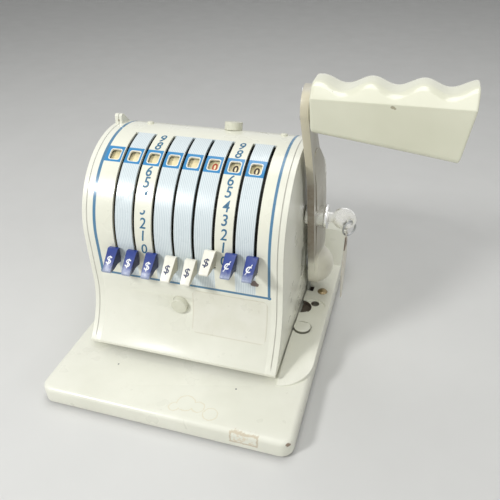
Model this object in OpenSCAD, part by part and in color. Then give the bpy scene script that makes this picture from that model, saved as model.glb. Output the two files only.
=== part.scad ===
// Desk check writer: cast base, rounded head with eight key columns, pull handle with a key lock.
// Millimetres, +Z up, +Y to the rear. The floor is z = 0 and the whole part is centred over the origin.

/* [Base] */
// Width of the base casting
base_w = 184; // [176:1:200]
// Depth of the base casting, front to rear
base_d = 235; // [228:1:250]
// Thickness of the base casting
base_t = 12.5; // [11.5:0.5:16]
// Wall of the hollow base casting
base_wall = 4; // [3:0.5:4.5]
// Corner radius of the base, seen from above
base_corner = 9; // [8:0.5:12]
// Rounding of the base's upper edge
base_round = 3.5; // [2:0.5:4]
// Height of the rubber feet
foot_h = 3; // [2.6:0.1:5]
// Radius of the rubber feet
foot_r = 9; // [7:0.5:10]
// Thickness of the bottom cover
cover_t = 1.2; // [0.8:0.1:1.6]
// Height of the shelf at the right of the head, above the base
shelf_h = 6.5; // [5:0.5:8]
// Height of the rear spine above the base
spine_h = 34.5; // [33:0.5:36]
// Depth of the spine's flat top
spine_seat = 26.5; // [25:0.5:28]
// Radius of the stop pad on the shelf
stop_r = 6.5; // [5:0.5:8]

/* [Head] */
// Width of the head over its cheeks
head_w = 145; // [144:0.5:148]
// Middle of the head, measured from the middle of the base
head_mid = -3.5; // [-4:0.5:-3]
// Thickness of each cheek
cheek_t = 8; // [7:0.5:8.5]
// Thickness of the face plate, skirt and rear cover
skin_t = 1.5; // [1:0.1:2]
// Radius of the rounded face
face_r = 60.8; // [60:0.1:61.5]
// Height of the lever axle above the base
axle_h = 87.5; // [87:0.1:88]
// Lever axle, behind the middle of the base
axle_y = 9.8; // [9:0.1:10.5]
// Gap between the head and the base, for the check
throat = 5.8; // [5.2:0.1:6]
// Height of the face plate's lower edge above the base
face_low = 58.5; // [57:0.5:60]
// Radius of the skirt's hollow front curve
skirt_r = 62; // [60:1:64]
// Height above the base where the skirt starts to flare
flare_h = 52.5; // [51:0.5:54]
// Lean of the head's top behind the rounded face, in degrees
top_lean = 36; // [34:0.5:38]
// Rear wall of the head, behind the middle of the base
rear_y = 112; // [110:0.5:114]
// Radius of the head's upper rear corner
rear_r = 40; // [38:1:42]
// Length of the lug on top of the left cheek
lug_len = 12; // [11:0.5:14]
// Height of that lug
lug_h = 7.2; // [5:0.1:9]

/* [Keys] */
// Distance from one key column to the next
pitch = 14.5; // [14.2:0.1:14.7]
// First slot, measured from the middle of the base
first_slot = -51.4; // [-52:0.1:-51]
// Width of the slots in the face plate
slot_w = 2.2; // [2.1:0.1:3]
// Lower end of the slots, in degrees from the horizontal
slot_low = -10; // [-11:0.5:-10]
// Upper end of the slots, in degrees from the horizontal
slot_high = 82; // [82:0.5:84]
// Turn of a lever from one digit to the next, in degrees
step_a = 8.8; // [8.6:0.05:8.8]
// Place of the windows, in degrees from the horizontal
window_a = 59.5; // [58:0.5:61]
// Width of a window
window_w = 7.6; // [6:0.1:8.4]
// Height of a window
window_h = 8.2; // [6:0.1:9]
// Corner radius of a window
window_r = 1.6; // [0.8:0.1:2]
// Width of a key cap at its top
key_w = 8; // [7.6:0.1:8.6]
// Width of a key cap at its tip
key_tip_w = 7.4; // [6.4:0.1:7.6]
// Reach of a key cap from the face
key_reach = 17.2; // [16.4:0.1:19]
// Height of a key cap
key_h = 13; // [12.8:0.1:14]
// Thickness of the steel key levers
lever_t = 1.6; // [1.2:0.1:1.8]
// Radius of the lever axle
axle_r = 4; // [3.5:0.1:4.5]
// Pitch radius of the toothed part of a lever
sector_r = 50; // [49.5:0.1:50.5]
// Outer radius of a type wheel over its type
type_r = 17; // [16.6:0.1:17.1]
// Radius of the type axle
type_axle_r = 3; // [2.5:0.1:3.5]

/* [Handle] */
// Handle pivot, behind the middle of the base
pivot_y = 37; // [36:0.5:38]
// Handle pivot above the base
pivot_h = 33.5; // [33:0.5:35]
// Radius of the main shaft
shaft_r = 5; // [4.5:0.1:5.5]
// Thickness of the arm's blade
arm_t = 5; // [4:0.5:6]
// Radius of the arm's hub
hub_r = 16; // [15:0.5:17]
// Reach of the domed hub beyond the arm's blade
dome_h = 12.5; // [10:0.5:14]
// Radius of the lock barrel
lock_r = 8; // [7:0.1:9]
// Lock above the handle pivot
lock_rise = 55; // [52:1:58]
// Radius of the key's round bow
bow_r = 8.8; // [8:0.1:10]
// Length of the grip
grip_len = 87; // [80:1:100]
// Height of the grip at the arm
grip_h = 26; // [24:1:30]
// How much deeper the grip is at its free end
grip_flare = 13; // [8:1:14]
// Depth of the grip, front to rear
grip_d = 34; // [30:1:38]
// Distance between the finger waves of the grip
wave_pitch = 26.5; // [25:0.5:28]
// Depth of the finger waves
wave_d = 5; // [3:0.5:6]
// Full pull of the handle, in degrees
pull_a = 48; // [44:1:48]

/* [Small parts] */
// Radius of the round push button
button_r = 6; // [5:0.5:7]
// How far the button stands out of the skirt
button_out = 3.6; // [3.2:0.1:5]
// Travel of the button
button_travel = 3; // [2:0.5:3]
// Radius of the thumb knob on top
knob_r = 6.5; // [5:0.5:8]
// Height of the thumb knob
knob_h = 5.5; // [4:0.5:7]
// Radius of the tie rods
rod_r = 3; // [2.5:0.1:3.5]
// Length of the key tag
tag_len = 60; // [50:1:62]
// Width of the key tag
tag_w = 24; // [18:1:26]

/* [Hidden] */
$fn = 64;
cols = 8;
eps = 0.01;            // overlap of cutters past a face
gap = 0.3;             // air between parts that move past each other
run = 0.05;            // radial clearance of a turning fit
fit_c = 0.02;          // radial clearance of a fixed pin
big = 400;             // larger than the part

base_top = foot_h + base_t;
left_x = -base_w / 2;
right_x = base_w / 2;
front_y = -base_d / 2;
back_y = base_d / 2;

head_l = head_mid - head_w / 2;
head_r = head_mid + head_w / 2;
in_l = head_l + cheek_t;
in_r = head_r - cheek_t;
in_w = in_r - in_l;
axle_z = base_top + axle_h;
head_z = base_top + throat;
front_face = axle_y - face_r;
flare_z = base_top + flare_h;
face_z = base_top + face_low;
split_a = 90 + top_lean;

spine_z = base_top + spine_h;
spine_y = back_y - spine_seat;
spine_run = 19;        // slope of the spine's front
head_back_run = 6;     // air between the head's rear slope and the spine's
shelf_z = base_top + shelf_h;
shelf_x = head_r + 0.8;
shelf_front = -72;
shelf_turn = 25;        // radius of the shelf's front corner
shelf_ramp = 34;        // run of the shelf's sloping front

pivot_z = base_top + pivot_h;
arm_x = head_r + 3.5;
arm_out = arm_x + arm_t;
pad_t = 2;
grip_x = arm_out + pad_t;
grip_end = grip_x + grip_len;
mid_x = (left_x + grip_end) / 2;

knee = [pivot_y - 24.5, pivot_z + 93];
neck = [pivot_y - 42, pivot_z + 121];
pad = [pivot_y - 56, pivot_z + 151];
knee_r = 12.5;
neck_r = 9.5;
pad_r = 11.8;
rib_t = 3;
arm_lean = 14.8;       // lean of the arm's lower half towards the front
rib_a = [pivot_y - 11, pivot_z + 64];
rib_b = [pivot_y - 22.5, pivot_z + 91];
rib_c = [pivot_y - 35, pivot_z + 109];
lock_y = pivot_y - 18;
lock_z = pivot_z + lock_rise;

gear_teeth = 18;
sector_teeth = 67;
gear_m = 2 * sector_r / sector_teeth;
gear_r = gear_m * gear_teeth / 2;
tooth_p = PI * gear_m;
tooth_out = 1.05;
tooth_in = 1.35;
wheel_z = axle_z - sector_r - gear_r;
steps = 11;
wheel_step = step_a * sector_teeth / gear_teeth;
key_start = [0, 0, 0, 0, 0, 1, 1, 1];
key_is_blue = [true, true, true, false, false, false, true, true];
strip_r = face_r - skin_t - 1.8;
strip_t = 1.4;
strip_w = pitch - slot_w - 1.3;
strip_low = window_a - (steps - 1) * step_a - 7;
strip_high = window_a + 7;
stem_low = -9;
stem_high = -6.2;
disc_r = 22;
detent_a = 165;
detent_r = 63;
detent_w = 8;
finger_t = 0.6;
tip_r = 1.2;
notch_r = 1.7;
tip_at = disc_r + tip_r + 0.2;

crank_r = 9;
crank_pin_r = 2.5;
crank_a = pull_a / 2;
lift = 2 * crank_r * sin(crank_a);
link_t = 1.8;
link_x = head_r + 1.1;
fork_c = 0.15;
crank_y = pivot_y + crank_r * cos(crank_a);
crank_z = pivot_z - crank_r * sin(crank_a);
strap_w = 6;
strap_y = pivot_y + 11;

platen_top = base_top - 0.9;
pad_h = 1.6;
platen_h = 7;
platen_w = 19;
platen_l = in_l + 6;
platen_r = in_r - 7;
platen_y = axle_y - platen_w / 2;
yoke_t = 1.2;
yoke_z = platen_top - pad_h - platen_h - yoke_t;
cover_top = foot_h + cover_t;

screw_r = 1.6;
screw_head_r = 3.2;
screw_head_h = 1.5;
button_x = -6.6;
button_z = base_top + 42;
flange_r = button_r + 1.5;
flange_t = 1.2;
bracket_y = front_face + 17;
knob_x = 12;
knob_lean = 16.4;
top_screw_lean = 11.1;
top_screw_x = 51;
top_screw_r = 2.5;
rod_at = [[front_face - 2, base_top + 19], [rear_y - 44, base_top + 44], [rear_y - 11, base_top + 84]];
ring_r = 5.5;          // key ring, over its wire's middle
wire_r = 0.7;
hole_r = 2.3;
blade_h = 7.4;

// Point on a circle round the lever axle: radius r, angle a up from the front, as [y, z].
function pt(r, a) = [axle_y - r * cos(a), axle_z + r * sin(a)];
function slot_x(k) = first_slot + (k - 1) * pitch;

// Centres the whole part over the origin, with the grip's reach counted.
module placed() translate([-mid_x, 0, 0]) children();
// Plate with its outline in the Y-Z plane, from x, of thickness t.
module yz(x, t) translate([x, 0, 0]) rotate([90, 0, 90]) linear_extrude(t) children();
// Plate with its outline in the X-Z plane, from y to the rear, of thickness t.
module xz(y, t) translate([0, y + t, 0]) rotate([90, 0, 0]) linear_extrude(t) children();
// Round bar along X, from x, at [y, z].
module bar(x, len, r, at) translate([x, at[0], at[1]]) rotate([0, 90, 0]) cylinder(h = len, r = r);
// Frame on the face at angle a: local +Z points outwards, the origin is on the lever axle.
module radial(a) translate([0, axle_y, axle_z]) rotate([90 - a, 0, 0]) children();
// Flat outline of two circles and the tangents between them.
module strap(p, r, q, s) {
    v = q - p;
    b = atan2(v[1], v[0]);
    c = acos((r - s) / norm(v));
    translate(p) circle(r);
    translate(q) circle(s);
    polygon([
        p + r * [cos(b + c), sin(b + c)], q + s * [cos(b + c), sin(b + c)],
        q + s * [cos(b - c), sin(b - c)], p + r * [cos(b - c), sin(b - c)]
    ]);
}
// Rounded rectangle plate on z = 0.
module slab(w, d, h, r) {
    translate([-w / 2 + r, -d / 2, 0]) cube([w - 2 * r, d, h]);
    translate([-w / 2, -d / 2 + r, 0]) cube([w, d - 2 * r, h]);
    for (x = [-1, 1], y = [-1, 1])
        translate([x * (w / 2 - r), y * (d / 2 - r), 0]) cylinder(h = h, r = r);
}
// Outline of a block's section with rounded upper corners.
module round_top(w, h, r) {
    translate([-w / 2, 0]) square([w, h - r]);
    translate([-w / 2 + r, 0]) square([w - 2 * r, h]);
    for (x = [-1, 1]) translate([x * (w / 2 - r), h - r]) circle(r);
}
// Block with vertical corner radius rc and upper edge radius re.
module soft_block(w, d, h, rc, re) {
    translate([-w / 2 + rc, 0, 0]) rotate([90, 0, 90]) linear_extrude(w - 2 * rc) round_top(d, h, re);
    translate([0, d / 2 - rc, 0]) rotate([90, 0, 0]) linear_extrude(d - 2 * rc) round_top(w, h, re);
    for (x = [-1, 1], y = [-1, 1])
        translate([x * (w / 2 - rc), y * (d / 2 - rc), 0]) rotate_extrude() post(rc, h, re);
}
module post(r, h, re) {
    square([r, h - re]);
    square([r - re, h]);
    translate([r - re, h - re]) circle(re);
}

// ---- base ----------------------------------------------------------------------------------

module spine_side(o) polygon([
    [spine_y - spine_run + o, base_top - 3 - o], [spine_y + 0.7 * o, spine_z - o],
    [back_y - o, spine_z - o], [back_y - o, base_top - 3 - o]
]);

module shelf_plan() {
    turn_y = shelf_front + shelf_turn;
    translate([shelf_x, turn_y]) square([right_x - shelf_x, spine_y - turn_y]);
    intersection() {
        translate([right_x - shelf_turn, turn_y]) circle(shelf_turn);
        translate([shelf_x, shelf_front - 1]) square([right_x - shelf_x, shelf_turn + 2]);
    }
}

module base_casting() color([0.9, 0.9, 0.82]) difference() {
    union() {
        translate([0, 0, foot_h]) soft_block(base_w, base_d, base_t, base_corner, base_round);
        intersection() {
            yz(head_l, right_x - head_l) spine_side(0);
            translate([0, 0, foot_h]) slab(base_w, base_d, 60, base_corner);
        }
        // shelf, which climbs from the base to its full height behind shelf_ramp
        intersection() {
            translate([0, 0, foot_h + 2]) linear_extrude(shelf_z - foot_h - 2) shelf_plan();
            yz(shelf_x - 1, right_x - shelf_x + 2) polygon([
                [shelf_front - 1, foot_h], [shelf_front - 1, base_top + 0.6],
                [shelf_front + shelf_ramp, shelf_z], [spine_y + 1, shelf_z], [spine_y + 1, foot_h]
            ]);
        }
    }
    // hollow underside, with four bosses left standing
    difference() {
        translate([0, 0, foot_h - 1])
            slab(base_w - 2 * base_wall, base_d - 2 * base_wall, base_t - base_wall + 1, base_corner - 4);
        for (x = [-1, 1], y = [-1, 1]) translate([x * 76, y * 66, 0]) cylinder(h = 20, r = 5);
    }
    // seat of the bottom cover
    translate([0, 0, foot_h - 1]) slab(base_w - base_wall, base_d - base_wall, cover_t + 1, base_corner - 2);
    for (x = [-1, 1], y = [-1, 1]) translate([x * 76, y * 66, 0]) cylinder(h = 9, r = screw_r + fit_c);
    yz(head_l + base_wall, right_x - head_l - 2 * base_wall - 2) spine_side(base_wall);
    // window of the platen and the way of its lift link
    translate([platen_l - gap, platen_y - gap, 0])
        cube([platen_r - platen_l + 2 * gap, platen_w + 2 * gap, 60]);
    translate([platen_r, platen_y - gap, 0])
        cube([link_x + 3 - platen_r, strap_y - platen_y, yoke_z + yoke_t + lift + 0.4]);
    translate([shelf_x - 0.5, strap_y - 14.5, 0]) cube([6, 7.5, 60]);
    // seats of the pin, the stop pad and the dish beside them
    translate([83, 35, shelf_z - 8]) cylinder(h = 30, r = screw_r + fit_c);
    translate([76, -14, shelf_z - 1.5]) cylinder(h = 30, r = stop_r + 1);
    translate([80, 14, shelf_z - 1]) cylinder(h = 30, r = 9);
    // pocket beside the cheek and the round hole next to it
    translate([shelf_x, 12, shelf_z - 5]) cylinder(h = 30, r = 8.4);
    translate([80, 18.6, shelf_z - 4]) cylinder(h = 30, r = 3.4);
}

module bottom_cover() color([0.35, 0.35, 0.35]) difference() {
    translate([0, 0, foot_h])
        slab(base_w - base_wall - 0.4, base_d - base_wall - 0.4, cover_t, base_corner - 2.2);
    for (x = [-1, 1], y = [-1, 1]) translate([x * 76, y * 66, 0]) cylinder(h = 9, r = screw_r + fit_c);
}

module rubber_feet() color([0.1, 0.1, 0.1])
    for (x = [-1, 1], y = [-1, 1]) translate([x * 76, y * 100, 0]) cylinder(h = foot_h, r = foot_r);

module bottom_screws() color([0.7, 0.7, 0.72]) for (x = [-1, 1], y = [-1, 1]) translate([x * 76, y * 66, 0]) {
    translate([0, 0, foot_h - screw_head_h]) cylinder(h = screw_head_h, r = screw_head_r);
    translate([0, 0, foot_h - 0.5]) cylinder(h = 5.5, r = screw_r);
}

module stop_pad() color([0.5, 0.5, 0.5]) difference() {
    translate([76, -14, shelf_z - 1.5]) cylinder(h = 3, r = stop_r);
    translate([60, -14 + stop_r * 0.75, shelf_z - 2]) cube([30, 20, 9]);
}

module shelf_screw() color([0.75, 0.75, 0.75]) translate([83, 35, shelf_z]) {
    intersection() {
        translate([0, 0, -2.2]) sphere(4.7);
        cylinder(h = 5, r = 9);
    }
    translate([0, 0, -6]) cylinder(h = 6.5, r = screw_r);
}

// ---- head ----------------------------------------------------------------------------------

lean_v = [sin(top_lean), cos(top_lean)];
corner_y = rear_y - rear_r;
corner_z = axle_z + (face_r - rear_r - lean_v[0] * (corner_y - axle_y)) / lean_v[1];
flare_out = 70;

// Side outline of the head behind the lean line, o millimetres inside it.
module rear_side(o) {
    polygon([
        [axle_y, axle_z], [axle_y, axle_z] + (face_r - o) * lean_v,
        [corner_y, corner_z] + (rear_r - o) * lean_v, [rear_y - o, corner_z], [rear_y - o, spine_z],
        [axle_y, spine_z]
    ]);
    translate([corner_y, corner_z]) intersection() {
        circle(rear_r - o);
        square(rear_r + 1);
    }
}

// Side outline of the head's front below the axle.
module front_side() difference() {
    polygon([
        [axle_y, axle_z], [front_face, axle_z], [front_face, flare_z], [-flare_out, flare_z],
        [-flare_out, head_z], [axle_y, head_z]
    ]);
    translate([front_face - skirt_r, flare_z]) circle(skirt_r);
}

module head_side() {
    translate([axle_y, axle_z]) circle(face_r);
    rear_side(0);
    front_side();
    polygon([
        [axle_y - 1, head_z], [axle_y - 1, axle_z], [rear_y - 30, axle_z], [spine_y, spine_z],
        [spine_y - head_back_run, spine_z], [spine_y - spine_run - head_back_run, head_z]
    ]);
}

// Bores for the rods and axles that both cheeks carry.
module cheek_bores(x, len) {
    bar(x, len, axle_r + fit_c, [axle_y, axle_z]);
    bar(x, len, type_axle_r + fit_c, [axle_y, wheel_z]);
    for (r = rod_at) bar(x, len, rod_r + fit_c, r);
    translate([x, 0, 0]) radial(detent_a) translate([0, -detent_w / 2, detent_r - detent_w / 2])
        cube([len, detent_w, detent_w]);
}

module left_cheek() color([0.9, 0.9, 0.82]) difference() {
    union() {
        yz(head_l, cheek_t) head_side();
        yz(head_l + 0.6, 5.5) translate([axle_y + 3, axle_z + face_r]) polygon([
            [0, -9], [0, -1.8], [0.6, lug_h - 1.8], [2.2, lug_h - 0.4],
            [4.5, lug_h - 0.8], [lug_len, -1.5], [lug_len, -9]
        ]);
    }
    cheek_bores(in_l - 5, 6);
    bar(in_l - 6, 7, shaft_r + 2 + fit_c, [pivot_y, pivot_z]);
}

module right_cheek() color([0.9, 0.9, 0.82]) difference() {
    union() {
        yz(in_r, cheek_t) head_side();
        bar(in_r - 1.5, 3, 10, [pivot_y, pivot_z]);
    }
    cheek_bores(in_r - 1, 6);
    bar(in_r - 2, cheek_t + 3, shaft_r + 2 + fit_c, [pivot_y, pivot_z]);
    // opening in front of the arm
    translate([in_r - 1, axle_y - 1, pivot_z + 4]) cube([cheek_t + 2, 15, 25]);
}

module face_side() {
    difference() {
        translate([axle_y, axle_z]) circle(face_r);
        translate([axle_y, axle_z]) circle(face_r - skin_t);
        translate([axle_y - big, axle_z - big]) square([2 * big, big]);
        polygon([[axle_y, axle_z], pt(big, split_a), pt(big, 180), pt(big, 200)]);
    }
    translate([front_face, face_z]) square([skin_t, axle_z - face_z]);
}

module face_plate() color([0.88, 0.87, 0.76]) difference() {
    yz(in_l, in_w) face_side();
    for (k = [1:cols]) {
        yz(slot_x(k) - slot_w / 2, slot_w) polygon([
            [axle_y, axle_z], pt(90, slot_low), pt(90, 10), pt(90, 34), pt(90, 58), pt(90, slot_high)
        ]);
        radial(window_a) translate([slot_x(k) - pitch / 2, 0, face_r - 10]) {
            slab(window_w, window_h, 20, window_r);
        }
    }
    for (x = [-1, 1]) translate([x * top_screw_x, 0, 0])
        radial(90 + top_screw_lean) cylinder(h = 90, r = screw_r + fit_c);
    translate([knob_x, 0, 0]) radial(90 + knob_lean) cylinder(h = 90, r = 2.5 + run);
}

module skirt_side() {
    translate([front_face, flare_z]) square([skin_t, face_z - flare_z]);
    intersection() {
        difference() {
            translate([front_face - skirt_r, flare_z]) circle(skirt_r + skin_t);
            translate([front_face - skirt_r, flare_z]) circle(skirt_r);
        }
        translate([-flare_out, head_z]) square([60, flare_z - head_z]);
    }
}

module front_skirt() color([0.9, 0.89, 0.79]) difference() {
    yz(in_l, in_w) skirt_side();
    translate([button_x, -big, button_z]) rotate([-90, 0, 0]) cylinder(h = 2 * big, r = button_r + 0.2);
}

module rear_cover() color([0.9, 0.9, 0.82]) union() {
    yz(in_l, in_w) difference() {
        rear_side(0);
        rear_side(skin_t);
        polygon([[axle_y - 9, axle_z - 80], [axle_y - 9, axle_z + 90], pt(100, split_a), [axle_y, axle_z]]);
        square([rear_y - skin_t, corner_z]);
    }
    // lip that rests on the spine
    translate([in_l, rear_y - 8, spine_z]) cube([in_w, 7, skin_t]);
}

module throat_plate() color([0.55, 0.55, 0.55]) difference() {
    translate([in_l, axle_y - face_r - 9, head_z]) cube([in_w, 2 * face_r + 2.4, skin_t]);
    translate([platen_l - 1, platen_y - 2, 0]) cube([platen_r - platen_l + 2, platen_w + 4, 60]);
}

module top_screws() color([0.6, 0.58, 0.55]) for (x = [-1, 1])
    translate([x * top_screw_x, 0, 0]) radial(90 + top_screw_lean) {
        translate([0, 0, face_r - skin_t + 0.1]) cylinder(h = skin_t, r = screw_r);
        translate([0, 0, face_r]) cylinder(h = 1.6, r = top_screw_r);
    }

module tie_rods() color([0.7, 0.7, 0.72]) for (r = rod_at) bar(in_l - 4.8, in_w + 9.6, rod_r, r);

module lever_axle() color([0.7, 0.7, 0.72]) bar(in_l - 4.8, in_w + 9.6, axle_r, [axle_y, axle_z]);

module type_axle() color([0.7, 0.7, 0.72]) bar(in_l - 4.8, in_w + 9.6, type_axle_r, [axle_y, wheel_z]);

// Spacing tubes on the lever axle and on the type axle.
hub_w = 3.2;
wheel_l = 10;
wheel_out = 2;
module axle_spacers() color([0.72, 0.62, 0.35]) {
    for (k = [1:cols - 1]) {
        tube(slot_x(k) + hub_w / 2 + 0.1, pitch - hub_w - 0.2, 6.5, axle_r + fit_c, axle_z);
        tube(slot_x(k) + wheel_out + 0.1, pitch - wheel_l - wheel_out - 0.2, 5, type_axle_r + fit_c, wheel_z);
    }
    tube(in_l, slot_x(1) - hub_w / 2 - 0.1 - in_l, 6.5, axle_r + fit_c, axle_z);
    tube(slot_x(cols) + hub_w / 2 + 0.1, in_r - slot_x(cols) - hub_w / 2 - 0.1, 6.5, axle_r + fit_c, axle_z);
    tube(in_l, slot_x(1) - wheel_l - 0.1 - in_l, 5, type_axle_r + fit_c, wheel_z);
    x8 = slot_x(cols) + wheel_out + 0.1;
    tube(x8, in_r - x8, 5, type_axle_r + fit_c, wheel_z);
}
module tube(x, len, ro, ri, z) difference() {
    bar(x, len, ro, [axle_y, z]);
    bar(x - 1, len + 2, ri, [axle_y, z]);
}

module detent_bar() color([0.6, 0.6, 0.62]) radial(detent_a) {
    translate([in_l - 4.8, -detent_w / 2 + 0.05, detent_r - detent_w / 2 + 0.05])
        cube([in_w + 9.6, detent_w - 0.1, detent_w - 0.1]);
    for (k = [1:cols]) translate([slot_x(k), 0, 0]) {
        translate([-2, -finger_t / 2, tip_at]) cube([4, finger_t, detent_r - tip_at - 1]);
        translate([-2, 0, tip_at]) rotate([0, 90, 0]) cylinder(h = 4, r = tip_r);
    }
}

module shaft_bushings() color([0.72, 0.6, 0.3]) {
    for (x = [in_l - 5.9, in_r]) difference() {
        bar(x, x < 0 ? 7 : cheek_t + 0.5, shaft_r + 2, [pivot_y, pivot_z]);
        bar(x - 1, cheek_t + 4, shaft_r + run, [pivot_y, pivot_z]);
    }
}

module button_bracket() color([0.6, 0.6, 0.62]) difference() {
    union() {
        translate([button_x - 9, bracket_y, head_z + skin_t]) cube([18, 1.2, 42]);
        translate([button_x - 9, bracket_y, head_z + skin_t]) cube([18, 10, 1.2]);
    }
    translate([button_x, 0, button_z]) rotate([90, 0, 0]) cylinder(h = 80, r = 2.5 + run);
}

// ---- keys and type -------------------------------------------------------------------------

// Turns a key's pieces up by a degrees, round the lever axle.
module raised(a)
    translate([0, axle_y, axle_z]) rotate([-a, 0, 0]) translate([0, -axle_y, -axle_z]) children();

cap_top = -3.4;
module key_side() difference() {
    polygon([
        [front_face - 1, axle_z + cap_top - 0.4], [front_face - 4, axle_z + cap_top],
        [front_face - key_reach + 0.4, axle_z + cap_top - key_h + 1.8],
        [front_face - key_reach, axle_z + cap_top - key_h + 1],
        [front_face - key_reach + 0.4, axle_z + cap_top - key_h], [front_face - 1, axle_z + cap_top - key_h]
    ]);
    translate([front_face - 6, axle_z + cap_top - key_h - 12.4]) circle(13);
}

module key_cap(k) color(key_is_blue[k - 1] ? [0.24, 0.3, 0.63] : [0.9, 0.89, 0.8])
    raised(key_start[k - 1] * step_a) difference() {
        intersection() {
            yz(slot_x(k) - key_w / 2, key_w) key_side();
            xz(front_face - 30, 40) translate([slot_x(k), axle_z + cap_top]) polygon([
                [-key_w / 2, 1], [-key_w / 2, 0], [-key_tip_w / 2, -key_h], [-key_tip_w / 2, -key_h - 1],
                [key_tip_w / 2, -key_h - 1], [key_tip_w / 2, -key_h], [key_w / 2, 0], [key_w / 2, 1]
            ]);
        }
        yz(slot_x(k) - lever_t / 2 - fit_c, lever_t + 2 * fit_c) stem_side(0.05);
    }

module stem_side(o) polygon([
    pt(40, stem_low - 2 * o), pt(66 + o, stem_low - 2 * o),
    pt(66 + o, stem_high + 2 * o), pt(40, stem_high + 2 * o)
]);

// Toothed arc: body to the root circle and trapezoid teeth, from the angle a0 on, n teeth.
module teeth(n, r, a0, da) for (i = [0:n - 1]) rotate(a0 + i * da) polygon([
    [r - tooth_in - 1, -tooth_p * 0.27], [r - tooth_in, -tooth_p * 0.27], [r + tooth_out, -tooth_p * 0.13],
    [r + tooth_out, tooth_p * 0.13], [r - tooth_in, tooth_p * 0.27], [r - tooth_in - 1, tooth_p * 0.27]
]);

sector_da = 360 / sector_teeth;
sector_n = ceil(88 / sector_da) + 3;
// Sector between the angles a and b, out to radius r; angles are up from the front.
module wedge(r, a, b) intersection() {
    translate([axle_y, axle_z]) circle(r);
    polygon([
        [axle_y, axle_z], pt(2 * r, a), pt(2 * r, (2 * a + b) / 3), pt(2 * r, (a + 2 * b) / 3), pt(2 * r, b)
    ]);
}

module lever_side() difference() {
    union() {
        translate([axle_y, axle_z]) circle(disc_r);
        wedge(strip_r, strip_low, strip_high);
        stem_side(0);
        wedge(sector_r - tooth_in, -90 - (sector_n - 1.4) * sector_da, -90 + 1.6 * sector_da);
        translate([axle_y, axle_z]) teeth(sector_n, sector_r, -90 - sector_da, sector_da);
    }
    for (i = [0:steps - 1]) translate(pt(disc_r + tip_r + 0.2, detent_a - i * step_a)) circle(notch_r);
    // lightening windows in both wings
    difference() {
        wedge(46, strip_low + 9, strip_high - 9);
        translate([axle_y, axle_z]) circle(28);
    }
    difference() {
        wedge(42, -90 - (sector_n - 5) * sector_da, -90 - sector_da);
        translate([axle_y, axle_z]) circle(28);
    }
}

module key_lever(k) color([0.62, 0.63, 0.65]) raised(key_start[k - 1] * step_a) difference() {
    union() {
        yz(slot_x(k) - lever_t / 2, lever_t) lever_side();
        bar(slot_x(k) - hub_w / 2, hub_w, 9, [axle_y, axle_z]);
        yz(slot_x(k) + lever_t / 2 - strip_w, strip_w) difference() {
            wedge(strip_r, strip_low, strip_high);
            translate([axle_y, axle_z]) circle(strip_r - strip_t);
        }
    }
    bar(slot_x(k) - 9, 18, axle_r + run, [axle_y, axle_z]);
}

wheel_c = [axle_y, wheel_z];
module type_wheel(k) color([0.66, 0.62, 0.5])
    translate([0, wheel_c[0], wheel_c[1]]) rotate([key_start[k - 1] * wheel_step, 0, 0]) difference() {
        union() {
            rotate([90, 0, 90]) translate([0, 0, slot_x(k) - 1.2]) linear_extrude(2.4) {
                circle(gear_r - tooth_in);
                rotate(90 + 180 / gear_teeth) teeth(gear_teeth, gear_r, 0, 360 / gear_teeth);
            }
            bar(slot_x(k) - wheel_l, wheel_l + wheel_out, 7, [0, 0]);
            bar(slot_x(k) - wheel_l, 7, type_r - 0.9, [0, 0]);
            for (i = [0:steps - 1]) rotate([90 - wheel_step * i, 0, 0])
                translate([slot_x(k) - 9.2, -2.4, type_r - 3]) cube([5.4, 4.8, 2.8]);
        }
        translate([slot_x(k) - 12, 0, 0]) rotate([0, 90, 0]) cylinder(h = 18, r = type_axle_r + run);
    }

// ---- handle --------------------------------------------------------------------------------

module main_shaft() color([0.7, 0.7, 0.72])
    bar(in_l - 4.7, arm_out - in_l + 4.7, shaft_r, [pivot_y, pivot_z]);

module arm_side() {
    strap([pivot_y, pivot_z], hub_r, knee, knee_r);
    strap(knee, knee_r, neck, neck_r);
    strap(neck, neck_r, pad, pad_r);
}

module handle_arm() color([0.72, 0.72, 0.68]) difference() {
    union() {
        yz(arm_x, arm_t) arm_side();
        // thicker rear half of the arm
        intersection() {
            yz(arm_out - 0.5, rib_t + 0.5) {
                strap([pivot_y, pivot_z + 11], 13, rib_a, 12);
                strap(rib_a, 12, rib_b, 9.5);
                strap(rib_b, 9.5, rib_c, 6);
            }
            translate([0, pivot_y, pivot_z]) rotate([arm_lean, 0, 0]) linear_extrude(150) polygon([
                [arm_out - 1, -20], [arm_out - 0.2, -13], [arm_out + rib_t, 5],
                [arm_out + rib_t, 40], [arm_out - 1, 40]
            ]);
        }
        yz(arm_out, pad_t) translate(pad) circle(pad_r - 2);
        intersection() {
            translate([arm_out + dome_h, pivot_y, pivot_z]) rotate([0, 90, 0])
                translate([0, 0, -dome_r]) sphere(dome_r);
            bar(arm_out - 1, 40, hub_r, [pivot_y, pivot_z]);
        }
        bar(arm_out - 0.5, 3, hub_r - 0.01, [pivot_y, pivot_z]);
        bar(link_x - 0.3, arm_x - link_x + 0.8, crank_pin_r, [crank_y, crank_z]);
    }
    bar(arm_x - 1, arm_t + 1, shaft_r + fit_c, [pivot_y, pivot_z]);
    bar(arm_x - 1, arm_t + 9, lock_r + fit_c, [lock_y, lock_z]);
    for (a = [-6.5, 6.5]) bar(arm_x - 1, 40, screw_r + fit_c, pad + [a * 0.35, a]);
}
dome_r = (hub_r * hub_r + dome_h * dome_h) / (2 * dome_h);

wave_r = ((wave_pitch / 4) * (wave_pitch / 4) + wave_d * wave_d / 4) / wave_d;
top_rise = 4;
grip_top = pad[1] + 16.5;
grip_low = grip_top - grip_h;
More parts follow.
